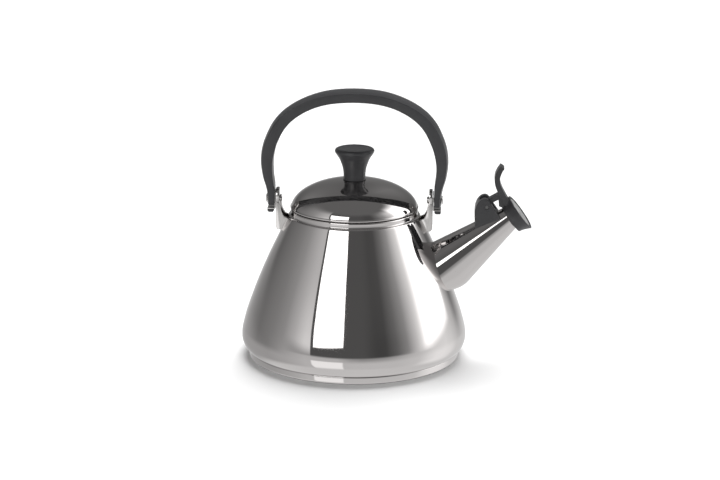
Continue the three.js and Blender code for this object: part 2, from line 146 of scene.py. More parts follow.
def mesh_object(name, verts, faces, sharp=40):
    mesh = bpy.data.meshes.new(name)
    mesh.from_pydata([tuple(v) for v in np.asarray(verts, float) * MM], [], faces)
    work = bmesh.new()
    work.from_mesh(mesh)
    bmesh.ops.recalc_face_normals(work, faces=work.faces)
    work.to_mesh(mesh)
    work.free()
    obj = bpy.data.objects.new(name, mesh)
    bpy.context.collection.objects.link(obj)
    shade(obj, sharp)
    return obj


def shade(obj, sharp=40):
    for polygon in obj.data.polygons:
        polygon.use_smooth = True
    obj.data.set_sharp_from_angle(angle=math.radians(sharp))


def lathe_data(profile, segments, ring=False):
    """Vertices and faces of a profile turned round Z. A ring profile closes on itself."""
    verts, rows = [], []
    for r, z in profile:
        if r < 1e-6:
            rows.append([len(verts)] * segments)
            verts.append((0.0, 0.0, z))
            continue
        rows.append(list(range(len(verts), len(verts) + segments)))
        for k in range(segments):
            a = 2 * math.pi * k / segments
            verts.append((r * math.cos(a), r * math.sin(a), z))
    faces = []
    pairs = list(zip(rows, rows[1:]))
    if ring:
        pairs.append((rows[-1], rows[0]))
    for low, high in pairs:
        for k in range(segments):
            n = (k + 1) % segments
            face = []
            for v in (low[k], low[n], high[n], high[k]):
                if v not in face:
                    face.append(v)
            if len(face) > 2:
                faces.append(face)
    return np.array(verts), faces


def lathe(name, profile, segments=FINE, ring=False, sharp=40, place=None):
    verts, faces = lathe_data(profile, segments, ring)
    if place:
        verts = place(verts)
    return mesh_object(name, verts, faces, sharp)


def tilted(tilt, x, z):
    """A placing for a lathe made round +Z: its axis rises from +X by tilt degrees, from (x, z)."""
    a = math.radians(tilt)

    def place(verts):
        px, py, pz = verts.T
        along_x = x + pz * math.cos(a) + px * math.sin(a)
        along_z = z + pz * math.sin(a) - px * math.cos(a)
        return np.stack([along_x, py, along_z], 1)

    return place


def sideways(side):
    """A placing for a lathe made round +Z: its axis turns to +X or -X at the handle's pivot height."""

    def place(verts):
        px, py, pz = verts.T
        return np.stack([side * pz, py, PIVOT_Z - side * px], 1)

    return place


def extrude(name, outline, y0, y1, bevel=0.0):
    """A closed outline in the X-Z plane, given thickness along Y."""
    n = len(outline)
    verts = [(x, y, z) for y in (y0, y1) for x, z in outline]
    faces = [list(range(n)), list(range(2 * n - 1, n - 1, -1))]
    faces += [[i, (i + 1) % n, n + (i + 1) % n, n + i] for i in range(n)]
    obj = mesh_object(name, verts, faces)
    if bevel:
        modifier = obj.modifiers.new("bevel", "BEVEL")
        modifier.width = bevel * MM
        modifier.segments = 3
        modifier.limit_method = "ANGLE"
        modifier.angle_limit = math.radians(40)
        settle(obj)
    return obj


def block(name, low, high):
    outline = [(low[0], low[2]), (high[0], low[2]), (high[0], high[2]), (low[0], high[2])]
    return extrude(name, outline, low[1], high[1])


def settle(obj, sharp=40):
    """Applies the object's modifiers to its mesh."""
    view = bpy.context.evaluated_depsgraph_get()
    mesh = bpy.data.meshes.new_from_object(obj.evaluated_get(view))
    obj.modifiers.clear()
    old = obj.data
    obj.data = mesh
    bpy.data.meshes.remove(old)
    shade(obj, sharp)
    return obj


def remove(obj):
    mesh = obj.data
    bpy.data.objects.remove(obj)
    bpy.data.meshes.remove(mesh)


def cut(obj, *tools):
    for tool in tools:
        modifier = obj.modifiers.new("cut", "BOOLEAN")
        modifier.object = tool
        modifier.operation = "DIFFERENCE"
        modifier.solver = "EXACT"
        settle(obj)
        remove(tool)
    return obj


def join(name, parts, bevel):
    """Unites closed solids exactly and softens the edges."""
    first, rest = parts[0], parts[1:]
    first.name = name
    for part in rest:
        modifier = first.modifiers.new("join", "BOOLEAN")
        modifier.object = part
        modifier.operation = "UNION"
        modifier.solver = "EXACT"
        settle(first)
        remove(part)
    modifier = first.modifiers.new("bevel", "BEVEL")
    modifier.width = bevel * MM
    modifier.segments = 3
    modifier.limit_method = "ANGLE"
    modifier.angle_limit = math.radians(40)
    return settle(first)


def fuse(name, parts, voxel, rounds):
    """Joins closed solids into one moulded or folded piece with softened edges and inner corners."""
    joined = bpy.data.objects.new(name, bpy.data.meshes.new(name))
    bpy.context.collection.objects.link(joined)
    work = bmesh.new()
    for part in parts:
        work.from_mesh(part.data)
        remove(part)
    work.to_mesh(joined.data)
    work.free()
    remesh = joined.modifiers.new("remesh", "REMESH")
    remesh.mode = "VOXEL"
    remesh.voxel_size = voxel * MM
    smooth = joined.modifiers.new("smooth", "SMOOTH")
    smooth.factor = 0.5
    smooth.iterations = rounds
    return settle(joined, sharp=180)


# ---------------------------------------------------------------- materials

def new_material(name):
    material = bpy.data.materials.new(name)
    material.use_nodes = True
    nodes, links = material.node_tree.nodes, material.node_tree.links
    shader = nodes["Principled BSDF"]
    where = nodes.new("ShaderNodeTexCoord").outputs["Object"]
    return material, nodes, links, shader, where


def noise(nodes, links, where, scale, detail=3.0, stretch=None):
    if stretch:
        mapping = nodes.new("ShaderNodeMapping")
        mapping.inputs["Scale"].default_value = stretch
        links.new(where, mapping.inputs["Vector"])
        where = mapping.outputs["Vector"]
    texture = nodes.new("ShaderNodeTexNoise")
    texture.inputs["Scale"].default_value = scale
    texture.inputs["Detail"].default_value = detail
    links.new(where, texture.inputs["Vector"])
    return texture.outputs["Fac"]


def vary_roughness(nodes, links, shader, value, low, high):
    node = nodes.new("ShaderNodeMapRange")
    node.inputs["From Min"].default_value = 0.3
    node.inputs["From Max"].default_value = 0.7
    node.inputs["To Min"].default_value = low
    node.inputs["To Max"].default_value = high
    links.new(value, node.inputs["Value"])
    links.new(node.outputs["Result"], shader.inputs["Roughness"])


def paint(nodes, links, shader, value, colour_a, colour_b):
    """Blends two colours by a value, as the shader's base colour."""
    ramp = nodes.new("ShaderNodeValToRGB")
    ramp.color_ramp.elements[0].position = 0.3
    ramp.color_ramp.elements[1].position = 0.7
    ramp.color_ramp.elements[0].color = (*colour_a, 1)
    ramp.color_ramp.elements[1].color = (*colour_b, 1)
    links.new(value, ramp.inputs["Fac"])
    links.new(ramp.outputs["Color"], shader.inputs["Base Color"])


def add_bump(nodes, links, shader, height, distance):
    bump = nodes.new("ShaderNodeBump")
    bump.inputs["Distance"].default_value = distance
    bump.inputs["Strength"].default_value = 1.0
    links.new(height, bump.inputs["Height"])
    links.new(bump.outputs["Normal"], shader.inputs["Normal"])


def polished_steel():
    """Mirror-polished stainless steel: faint haze patches and the finest polishing marks."""
    material, nodes, links, shader, where = new_material("polished_steel")
    shader.inputs["Metallic"].default_value = 1.0
    haze = noise(nodes, links, where, 26, 4)
    vary_roughness(nodes, links, shader, haze, 0.02, 0.06)
    tint = noise(nodes, links, where, 9, 2)
    paint(nodes, links, shader, tint, (0.605, 0.583, 0.576), (0.635, 0.613, 0.606))
    marks = noise(nodes, links, where, 500, 2, (1, 1, 12))
    add_bump(nodes, links, shader, marks, 0.0000015)
    return material


def satin_steel():
    """Satin stainless steel with fine brushed lines."""
    material, nodes, links, shader, where = new_material("satin_steel")
    shader.inputs["Metallic"].default_value = 1.0
    brushed = noise(nodes, links, where, 300, 4, (8, 8, 0.6))
    vary_roughness(nodes, links, shader, brushed, 0.2, 0.34)
    paint(nodes, links, shader, brushed, (0.52, 0.515, 0.51), (0.6, 0.595, 0.59))
    add_bump(nodes, links, shader, brushed, 0.000006)
    return material


def bright_steel():
    """Folded sheet and rivets, buffed but not quite to a mirror."""
    material, nodes, links, shader, where = new_material("bright_steel")
    shader.inputs["Metallic"].default_value = 1.0
    buffed = noise(nodes, links, where, 220, 3, (6, 6, 0.8))
    vary_roughness(nodes, links, shader, buffed, 0.09, 0.16)
    paint(nodes, links, shader, buffed, (0.6, 0.585, 0.575), (0.66, 0.645, 0.635))
    add_bump(nodes, links, shader, buffed, 0.000002)
    return material


def inner_steel():
    """The vessel's inside: drawn steel, less polished, with turned marks round the axis."""
    material, nodes, links, shader, where = new_material("inner_steel")
    shader.inputs["Metallic"].default_value = 1.0
    marks = noise(nodes, links, where, 60, 4, (0.6, 0.6, 14))
    vary_roughness(nodes, links, shader, marks, 0.16, 0.32)
    paint(nodes, links, shader, marks, (0.55, 0.545, 0.535), (0.62, 0.615, 0.605))
    add_bump(nodes, links, shader, marks, 0.00001)
    return material


def turned_steel(name, scale, rough, depth, light=(0.62, 0.615, 0.61)):
    """Steel with concentric turned rings round the Z axis."""
    material, nodes, links, shader, where = new_material(name)
    shader.inputs["Metallic"].default_value = 1.0
    wave = nodes.new("ShaderNodeTexWave")
    wave.wave_type = "RINGS"
    wave.rings_direction = "Z"
    wave.inputs["Scale"].default_value = scale
    wave.inputs["Distortion"].default_value = 0.4
    links.new(where, wave.inputs["Vector"])
    patches = noise(nodes, links, where, 40, 4)
    vary_roughness(nodes, links, shader, patches, rough, rough + 0.12)
    dark = tuple(0.89 * c for c in light)
    paint(nodes, links, shader, patches, dark, light)
    add_bump(nodes, links, shader, wave.outputs["Fac"], depth)
    return material


def mould_black():
    """Satin black moulded phenolic: very fine grain and slow changes of gloss."""
    material, nodes, links, shader, where = new_material("mould_black")
    shader.inputs["Specular IOR Level"].default_value = 0.34
    gloss = noise(nodes, links, where, 45, 4)
    grain = noise(nodes, links, where, 2600, 2)
    vary_roughness(nodes, links, shader, gloss, 0.27, 0.36)
    paint(nodes, links, shader, gloss, (0.031, 0.031, 0.033), (0.041, 0.041, 0.043))
    add_bump(nodes, links, shader, grain, 0.000012)
    return material


def plain_metal(name, colour, rough, scale):
    material, nodes, links, shader, where = new_material(name)
    shader.inputs["Metallic"].default_value = 1.0
    grain = noise(nodes, links, where, scale, 4)
    darker = tuple(0.85 * c for c in colour)
    vary_roughness(nodes, links, shader, grain, rough, rough + 0.15)
    paint(nodes, links, shader, grain, darker, colour)
    add_bump(nodes, links, shader, grain, 0.00001)
    return material


def seal_silicone():
    material, nodes, links, shader, where = new_material("seal_silicone")
    grain = noise(nodes, links, where, 700, 3)
    vary_roughness(nodes, links, shader, grain, 0.6, 0.75)
    paint(nodes, links, shader, grain, (0.32, 0.31, 0.3), (0.38, 0.37, 0.36))
    add_bump(nodes, links, shader, grain, 0.00001)
    return material


STEEL = polished_steel()
SATIN = satin_steel()
INSIDE = inner_steel()
TURNED = turned_steel("turned_base", 330, 0.16, 0.00001)
DISC = turned_steel("turned_disc", 500, 0.42, 0.000006, (0.74, 0.735, 0.73))
BLACK = mould_black()
SILICONE = seal_silicone()
BRIGHT = bright_steel()
# Whistle pin's end: dark steel that paints the shade of the hole it sits in, not a finish of the pin
PIN_HOLE_SHADE = plain_metal("pin_hole_shade_steel", (0.16, 0.16, 0.16), 0.35, 200)
ALUMINIUM = plain_metal("base_aluminium", (0.72, 0.72, 0.73), 0.35, 200)
BRASS = plain_metal("insert_brass", (0.66, 0.52, 0.28), 0.3, 200)


def finish_piece(obj, body, slot, material, *nodes):
    """Gives a piece its material and body, and hides the CAD nodes that it stands for. The slot is not used.
    """
    if not obj.data.materials:
        obj.data.materials.append(material)
    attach(obj, body)
    if nodes:
        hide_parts(*nodes)
    return obj


# ---------------------------------------------------------------- body

def body_outline():
    outline = Outline(FOOT["radius"], FOOT["z"], 90 - FOOT["roll_turn"])
    outline.arc(FOOT["roll_radius"], FOOT["roll_turn"], 28)
    outline.arc(36, 13, 12)
    outline.arc(190, 6, 14)
    outline.arc(500, 6.6, 28)
    slope = math.radians(outline.heading)
    outline.line((SHOULDER_Z - outline.points[-1][1]) / math.sin(slope), 14)
    outline.arc(2.5, 160 - outline.heading, 8)
    outline.arc(1.2, -65, 6)
    outline.line(1.6, 2)
    outline.arc(0.5, -35, 4)
    outline.arc(1.3, 120, 14)
    outline.line(outline.points[-1][0] - MOUTH_RADIUS - 1.6)
    outline.arc(1.6, 90, 8)
    outline.line(1.5)
    return outline.points


BODY = body_outline()
SIDE = [(r, z) for r, z in BODY if z < SHOULDER_Z + 0.1 and r > 56]


def body_radius(z):
    """Radius of the body's outside at a height."""
    return float(np.interp(z, [p[1] for p in SIDE], [p[0] for p in SIDE]))


def spout_point(run, angle, inset):
    """A point of the spout's cone: run is measured back from its apex, angle 0 is its underside."""
    radius = run * math.tan(math.radians(SPOUT["half_angle"])) - inset
    if run > BELLY["start"]:
        under = max(0.0, math.cos(angle))
        radius -= BELLY["growth"] * (run - BELLY["start"]) ** 2 * under**2
    tilt = math.radians(SPOUT["tilt"])
    across, up = radius * math.cos(angle), -run
    x = SPOUT["apex_x"] + up * math.cos(tilt) + across * math.sin(tilt)
    z = SPOUT["apex_z"] + up * math.sin(tilt) - across * math.cos(tilt)
    return x, radius * math.sin(angle), z


def root_run(angle, inset, depth):
    """The run at which the spout's wall meets the body's side, depth millimetres inside it."""
    low, high = 60.0, 136.0
    for _ in range(40):
        run = (low + high) / 2
        x, y, z = spout_point(run, angle, inset)
        if math.hypot(x, y) > body_radius(z) - depth:
            low = run
        else:
            high = run
    return low


def spout_tube():
    segments, steps = 120, 56
    mouth, wall = SPOUT["mouth"], SPOUT["wall"]
    rows = []
    angles = [2 * math.pi * k / segments for k in range(segments)]
    outer_root = [root_run(a, 0, 0.35) for a in angles]
    inner_root = [root_run(a, wall, 0.35) for a in angles]
    for i in range(steps, -1, -1):
        rows.append([spout_point(mouth + (root - mouth) * i / steps, a, 0)
                     for a, root in zip(angles, outer_root)])
    for turn in (30, 60, 90, 120, 150):
        inset = wall / 2 * (1 - math.cos(math.radians(turn)))
        lip = wall / 2 * math.sin(math.radians(turn))
        rows.append([spout_point(mouth - lip, a, inset) for a in angles])
    for i in range(steps + 1):
        rows.append([spout_point(mouth + (root - mouth) * i / steps, a, wall)
                     for a, root in zip(angles, inner_root)])
    verts = [point for row in rows for point in row]
    faces = []
    for j in range(len(rows)):
        n = (j + 1) % len(rows)
        for k in range(segments):
            m = (k + 1) % segments
            faces.append([j * segments + k, j * segments + m, n * segments + m, n * segments + k])
    tube = mesh_object("spout_tube_fine", verts, faces, 50)
    return finish_piece(tube, "kettle_body", "polished_steel", STEEL, "spout_tube")


def spout_plug(name, inset, start, end, segments=120, steps=40):
    """A closed solid of the spout's cone, used to cut its neighbours."""
    rows = []
    for i in range(steps + 1):
        run = start + (end - start) * i / steps
        rows.append([spout_point(run, 2 * math.pi * k / segments, inset) for k in range(segments)])
    verts = [point for row in rows for point in row]
    faces = [list(range(segments)), list(range((steps + 1) * segments - 1, steps * segments - 1, -1))]
    for j in range(steps):
        for k in range(segments):
            m = (k + 1) % segments
            low, high = j * segments, (j + 1) * segments
            faces.append([low + k, low + m, high + m, high + k])
    return mesh_object(name, verts, faces)


def body_shell():
    outer = [(0, FOOT["z"]), *BODY]
    inner = offset_left(outer, WALL)[::-1]
    inner[-1] = (0, FOOT["z"] + WALL)
    shell = lathe("body_shell_fine", [*outer, *inner], FINE, sharp=30)
    shell.data.materials.append(STEEL)
    shell.data.materials.append(INSIDE)
    first_inner = len(outer) * FINE - FINE + 1
    for polygon in shell.data.polygons:
        if all(v >= first_inner for v in polygon.vertices):
            polygon.material_index = 1
    cut(shell, spout_plug("spout_bore", SPOUT["wall"], SPOUT["mouth"], 135))
    return finish_piece(shell, "kettle_body", "polished_steel", STEEL, "body_shell")


def base_cap():
    radius, height, sheet, corner = BASE["radius"], BASE["height"], BASE["sheet"], BASE["corner"]
    outline = Outline(0, 0, 0).line(radius - corner, 30)
    outline.arc(corner, 90, 10).line(height - corner - 0.25, 4)
    outer = outline.points
    inner = offset_left(outer, sheet)[::-1]
    lip_x = radius - sheet / 2
    inner[-1] = (0, sheet)
    lip = [(radius - 0.1, height - 0.05), (lip_x, height), (radius - sheet + 0.1, height - 0.05)]
    profile = [*outer, *lip, *inner]
    cap = lathe("base_cap_fine", profile, FINE, sharp=35)
    cap.data.materials.append(TURNED)
    cap.data.materials.append(STEEL)
    for polygon in cap.data.polygons:
        if polygon.center.xy.length > (radius - 1.5) * MM:
            polygon.material_index = 1
    return finish_piece(cap, "kettle_body", "brushed_base", TURNED, "base_cap")


# ---------------------------------------------------------------- lid

def lid_arch(inset, from_radius, steps):
    a, b = LID["radius"] - inset, LID["rise"] - inset
    top = math.acos(from_radius / a)
    rim = math.asin((LID["rim_z"] - LID["centre_z"]) / LID["rise"])
    angles = [top + (rim - top) * i / steps for i in range(steps + 1)]
    return [(a * math.cos(t), LID["centre_z"] + b * math.sin(t)) for t in angles]


def lid_dome():
    turns = [math.radians(degrees) for degrees in range(40, -151, -10)]
    bead = [(54.75 + 0.9 * math.cos(a), 133.1 + 0.9 * math.sin(a)) for a in turns]
    profile = [*lid_arch(0, 2.6, 60), *bead, *lid_arch(WALL, 2.6, 40)[::-1]]
    dome = lathe("lid_dome_fine", profile, FINE, ring=True, sharp=50)
    return finish_piece(dome, "lid", "polished_steel", STEEL, "lid_dome")


def lid_skirt():
    r, z = LID["skirt"], LID["skirt_z"]
    flange = [(r - 0.8, 133.2), (53.4, 133.2), (53.4, 132.5), (r + 0.4, 132.5), (r + 0.1, 132.4), (r, 132.1)]
    hem = [(r, z + 1.2), (r - 0.1, z + 0.5), (r - 0.3, z + 0.1)]
    hem += [(r - 0.5, z), (r - 0.7, z + 0.1), (r - 0.8, z + 0.4)]
    profile = flange + hem
    skirt = lathe("lid_skirt_fine", profile, FINE, ring=True, sharp=50)
    return finish_piece(skirt, "lid", "satin_steel", SATIN, "lid_skirt")


def lid_knob():
    side = spline([
        (9.8, 157.1), (9.55, 160), (9.6, 163), (10.4, 168), (11.7, 172), (13.4, 176), (15.6, 179.3),
        (16.8, 181.2), (17.15, 182.2), (16.95, 183.2), (16.3, 184.05), (15.4, 184.5), (14.9, KNOB_TOP_Z),
    ], 72)
    dips = [(14.5, 0.05), (14.2, 0.35), (13.9, 0.6), (12.2, 0.62), (11.9, 0.5), (11.6, 0.62), (0, 0.66)]
    top = [(r, KNOB_TOP_Z - dip) for r, dip in dips]
    hollow = [(0, 170.3), (4.3, 170.3), (4.3, 157.5)]
    knob = lathe("lid_knob_fine", [*hollow, *[tuple(p) for p in side], *top], 128, sharp=50)
    return finish_piece(knob, "lid", "black_phenolic", BLACK, "lid_knob")


# ---------------------------------------------------------------- handle

HANDLE_HALF = [
    (18.6, 230.2), (33.3, 226.8), (46.4, 221.1), (57.4, 213.6), (65.3, 204.7), (70.6, 194.6), (74.2, 184.5),
    (75.9, 173), (75.1, 160.5), (73.1, 150.5), (72.35, 142.5), (72.25, HANDLE["end_z"]),
]


def handle_thickness(t):
    """t runs from 0 at the handle's top to 1 at its end."""
    top, side_gain, end_loss = 9, 2.3, 5.1
    return top + side_gain * smoothstep(t, 0.15, 0.5) - end_loss * smoothstep(t, 0.57, 0.97)


def handle_section(thick, width):
    """Half widths: a crowned outer face with crisp edges, and a flat inner face with rounder ones."""
    half_t, half_w = thick / 2, width / 2
    crown, edge, soft = 1.3, 0.5, 0.6
    flat = half_w - edge
    points = []
    for k in range(-8, 9):
        y = flat * k / 8
        points.append((half_t - crown * (y / flat) ** 2, y))
    outer = half_t - crown
    for degrees in (25, 50, 75, 90):
        a = math.radians(degrees)
        points.append((outer - edge * (1 - math.cos(a)), flat + edge * math.sin(a)))
    points.append((0.0, half_w))
    for degrees in (0, 22, 45, 68, 90):
        a = math.radians(degrees)
        points.append((-half_t + soft * (1 - math.sin(a)), half_w - soft * (1 - math.cos(a))))
    mirrored = [(n, -y) for n, y in points[17:]][::-1]
    return points + mirrored


def handle_grip(half=120):
    centre = spline([(-x, z) for x, z in HANDLE_HALF[::-1]] + [(0, 231.4)] + HANDLE_HALF, 2 * half)
    along = tangents(centre)
    rows = []
    for i, ((x, z), (ax, az)) in enumerate(zip(centre, along)):
        t = abs(i - half) / half
        spread = smoothstep(z, HANDLE["end_z"], 205)
        width = HANDLE["end_width"] + (HANDLE["top_width"] - HANDLE["end_width"]) * spread
        section = handle_section(handle_thickness(t), width)
        rows.append([(x - az * n, y, z + ax * n) for n, y in section])
    for row, index in ((rows[0], 0), (rows[-1], -1)):
        middle = np.mean(row, axis=0)
        inset = [tuple(middle + (np.array(p) - middle) * 0.93) for p in row]
        lifted = [(x, y, z + 0.45) for x, y, z in row]
        rows[index] = inset
        rows.insert(1 if index == 0 else -1, lifted)
    count = len(rows[0])
    verts = [p for row in rows for p in row]
    faces = [list(range(count)), list(range(len(verts) - 1, len(verts) - 1 - count, -1))]
    for j in range(len(rows) - 1):
        for k in range(count):
            m = (k + 1) % count
            low, high = j * count, (j + 1) * count
            faces.append([low + k, low + m, high + m, high + k])
    grip = mesh_object("handle_grip_fine", verts, faces, 30)
    return finish_piece(grip, "handle", "black_phenolic", BLACK, "handle_grip")


def bracket(side, place):
    inner, outer = PLATE["inner"], PLATE["outer"]
    half, top, bottom = PLATE["half_width"], PLATE["top_z"], PLATE["bottom_z"]
    arc = [math.radians(180 * k / 24) for k in range(25)]
    tongue = [(half * math.cos(a), top - half + half * math.sin(a)) for a in arc]
    tongue += [(-half, bottom), (half, bottom)]
    n = len(tongue)
    verts = [(side * x, y, z) for x in (inner, outer) for y, z in tongue]
    faces = [list(range(n)), list(range(2 * n - 1, n - 1, -1))]
    faces += [[i, (i + 1) % n, n + (i + 1) % n, n + i] for i in range(n)]
    parts = [mesh_object("plate", verts, faces)]
    for sign in (-1, 1):
        y = sign * (CHEEK["outer_y"] - CHEEK["thickness"] / 2)
        seat = [(math.sqrt((body_radius(z) - 0.25) ** 2 - y * y), z) for z in np.linspace(112.6, 123.2, 12)]
        curve = [(60.6, 124.6), (62, 126.8), (63.1, 129.6), (63.7, 132.6)]
        curve += [(64.1, 135.2), (65, 136.8), (66, 137.2)]
        rim = [(outer - 0.03, 137.2), (outer - 0.03, bottom + 1.2), (outer - 0.9, 113.5)]
        outline = [(side * x, z) for x, z in [*seat, *curve, *rim]]
        ends = sorted((sign * CHEEK["outer_y"], sign * (CHEEK["outer_y"] - CHEEK["thickness"])))
        parts.append(extrude("cheek", outline, *ends))
    piece = join(f"handle_bracket_{place}_fine", parts, 0.22)
    return finish_piece(piece, "kettle_body", "satin_steel", BRIGHT, f"handle_bracket_{place}")


def rivet(side, place):
    head = [(2.1, 75.7), (3.75, 75.7), (3.9, 75.85), (3.85, 76.15)]
    head += [(3.5, 76.5), (2.7, 76.8), (1.6, 76.93), (0, 76.98)]
    tail = [(0, 62.8), (1.6, 62.85), (2.5, 63.05), (3.0, 63.45), (3.1, 63.9), (3.1, 64.7), (2.1, 64.7)]
    piece = lathe(f"pivot_rivet_{place}_fine", [*tail, *head], 64, place=sideways(side), sharp=45)
    return finish_piece(piece, "kettle_body", "satin_steel", BRIGHT, f"pivot_rivet_{place}")


def strap(side, place):
    inner, outer, sheet = STRAP["inner"], STRAP["outer"], STRAP["outer"] - STRAP["inner"]
    bottom, reach = STRAP["bottom_z"], STRAP["reach"]
    bend = [(inner + 1.2 - 1.2 * math.cos(a), bottom + 1.2 - 1.2 * math.sin(a))
            for a in np.linspace(0, math.pi / 2, 9)]
    inside = [(outer + 0.5 - 0.5 * math.sin(a), bottom + sheet + 0.5 - 0.5 * math.cos(a))
              for a in np.linspace(0, math.pi / 2, 6)]
    foot = [(reach, bottom), (reach, bottom + sheet)]
    outline = [(inner, STRAP["top_z"]), *bend, *foot, *inside, (outer, STRAP["top_z"])]
    piece = extrude(f"handle_end_strap_{place}_fine", [(side * x, z) for x, z in outline],
                    -STRAP["half_width"], STRAP["half_width"], 0.18)
    return finish_piece(piece, "handle", "satin_steel", BRIGHT, f"handle_end_strap_{place}")


def strap_pad(side, place):
    top = STRAP["bottom_z"] - 0.02
    low = STRAP["bottom_z"] - 2.9
    outline = [(69.5, top), (69.7, low + 1.2), (70.1, low + 0.5), (70.7, low + 0.1), (71.3, low)]
    outline += [(73.7, low), (74.3, low + 0.1), (74.9, low + 0.5), (75.2, low + 1.2), (75.3, top)]
    piece = extrude(f"strap_pad_{place}_fine", [(side * x, z) for x, z in outline], -7.2, 7.2, 0.3)
    return finish_piece(piece, "handle", "black_phenolic", BLACK, f"strap_pad_{place}")


# ---------------------------------------------------------------- whistle

def bezier(a, b, c, d, steps):
    a, b, c, d = map(np.array, (a, b, c, d))
    points = []
    for i in range(1, steps + 1):
        t = i / steps
        start, end = a * (1 - t) ** 3 + 3 * b * t * (1 - t) ** 2, 3 * c * t * t * (1 - t) + d * t**3
        points.append(tuple(start + end))
    return points


def whistle_housing():
    outline = [(105.2, 111), (104.4, 125.9)]
    outline += bezier((104.4, 125.9), (104, 132.9), (105, 140.1), (111, 143.1), 16)
    outline += bezier((111, 143.1), (113.5, 144.1), (116, 143.3), (117.4, 140.5), 12)
    outline += [(126.4, 127.5), (124, 111)]
    half, slot = HOUSING["half_width"], HOUSING["slot"]
    solid = extrude("housing_block", outline, -half, half)
    bore = PIN["radius"] + 0.2
    dimple = lathe("pin_dimple", [(0, -12), (bore, -12), (bore, 12), (0, 12)], 40,
                   place=lambda v: np.stack([PIN["x"] + v[:, 0], v[:, 2], PIN["z"] + v[:, 1]], 1))
    cut(solid, block("slot_tool", (HOUSING["slot_x"], -slot, HOUSING["slot_z"]), (140, slot, 150)))
    cut(solid, spout_plug("cone_tool", 0.1, SPOUT["mouth"], 130), dimple)
    piece = fuse("whistle_housing_fine", [solid], 0.22, 4)
    return finish_piece(piece, "kettle_body", "black_phenolic", BLACK, "whistle_housing")


def cap_place():
    a = math.radians(CAP["tilt"])
    back_x = CAP["face_x"] - CAP["length"] * math.cos(a)
    back_z = CAP["face_z"] - CAP["length"] * math.sin(a)
    return tilted(CAP["tilt"], back_x, back_z)


def whistle_cap():
    length, face, back, bore = CAP["length"], *CAP_RADIUS.values()
    flare = spline([(back, 0), (back + 0.35, 2.2), (back + 1.0, 4.6), (back + 2.0, 7), (face - 0.5, 9.0),
                    (face, 9.8)], 30)
    profile = [(0, 4.5), (bore, 4.5), (bore, 0), *[tuple(p) for p in flare]]
    profile += [(face - 0.15, 10.3), (face - 0.6, length)]
    profile += [(14.6, length), (14.6, length - 1.6), (0, length - 1.6)]
    cup = lathe("cup", profile, 120, place=cap_place())
    middle = spline([(127.9, 170.6), (125.4, 166.8), (123.6, 161.6), (123.9, 155.9), (125.8, 150.5),
                     (128.4, 145.5), (131.6, 139.9), (134.6, 134.9)], 60)
    along = tangents(middle)
    sides = []
    for sign in (1, -1):
        half = [sign * (2.4 - 0.35 * smoothstep(0.25 - i / 60, 0, 0.25)) for i in range(61)]
        sides.append([(x - az * h, z + ax * h) for (x, z), (ax, az), h in zip(middle, along, half)])
    lever = extrude("lever", sides[0] + sides[1][::-1], -6.5, 6.5)
    behind = lathe("behind", [(0, -20), (bore, -20), (bore, 4.5), (0, 4.5)], 120, place=cap_place())
    cut(lever, behind)
    arm = extrude("arm", [(112.4, 138.5), (116.6, 142.3), (124.4, 146.8), (130, 143.4), (131, 138),
                          (128.4, 134.4), (125.4, 135.6), (124.8, 141.4), (121, 139.5), (118.4, 136.9),
                          (118, 133.5), (116.6, 132.2), (114.8, 131.8), (113, 132.2), (111.6, 133.3),
                          (110.8, 136.1)], -4.3, 4.3)
    behind = lathe("behind_arm", [(0, -20), (bore, -20), (bore, 4.5), (0, 4.5)], 120, place=cap_place())
    cut(arm, block("spring_pocket", (104, 0.4, 126), (119.2, 10, 140.3)), behind)
    chamber = lathe("chamber", [(0, 3), (9, 3), (9, 12), (0, 12)], 96, place=cap_place())
    cut(cup, chamber)
    piece = fuse("whistle_cap_fine", [cup, lever, arm], 0.26, 4)
    return finish_piece(piece, "whistle", "black_phenolic", BLACK, "whistle_cap")


def whistle_disc():
    z0 = 9.3
    heights = [(1.8, 0), (14.2, 0), (14.25, 0.3), (14.1, 0.55), (12.9, 0.6), (12.6, 0.45), (11.9, 0.42),
               (11.5, 0.55), (6, 0.58), (2.6, 0.55), (1.95, 0.45), (1.8, 0.2)]
    profile = [(r, z0 + rise) for r, rise in heights]
    disc = lathe("whistle_disc_front_fine", profile, 120, ring=True, place=cap_place())
    return finish_piece(disc, "whistle", "satin_steel", DISC, "whistle_disc_front")


# ---------------------------------------------------------------- scene

def carried_over():
    """CAD nodes that stay as they are, with their finishes; the whistle pin's dark steel is painted shade of
    its hole.
    """
    finishes = {
        "base_core": ALUMINIUM, "knob_insert": BRASS, "knob_screw": SATIN, "knob_washer": SATIN,
        "housing_lug": SATIN, "whistle_pin": PIN_HOLE_SHADE, "whistle_spring": STEEL, "whistle_disc_back": SATIN,
        "whistle_seal": SILICONE,
    }
    for node, material in finishes.items():
        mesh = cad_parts[node].data
        mesh.materials.clear()
        mesh.materials.append(material)


def camera():
    data = bpy.data.cameras.new("camera")
    data.lens = CAMERA["lens"]
    data.sensor_width = 36
    data.clip_end = 30
    obj = bpy.data.objects.new("camera", data)
    bpy.context.collection.objects.link(obj)
    azimuth, distance, side = math.radians(CAMERA["azimuth"]), CAMERA["distance"], CAMERA["target_side"]
    obj.location = (distance * math.sin(azimuth), -distance * math.cos(azimuth), CAMERA["height"])
    target = Vector((side * math.cos(azimuth), side * math.sin(azimuth), CAMERA["target_z"]))
    roll = Quaternion((0, 0, 1), math.radians(CAMERA["roll"]))
    obj.rotation_mode = "QUATERNION"
    obj.rotation_quaternion = (target - obj.location).to_track_quat("-Z", "Y") @ roll
    bpy.context.scene.camera = obj


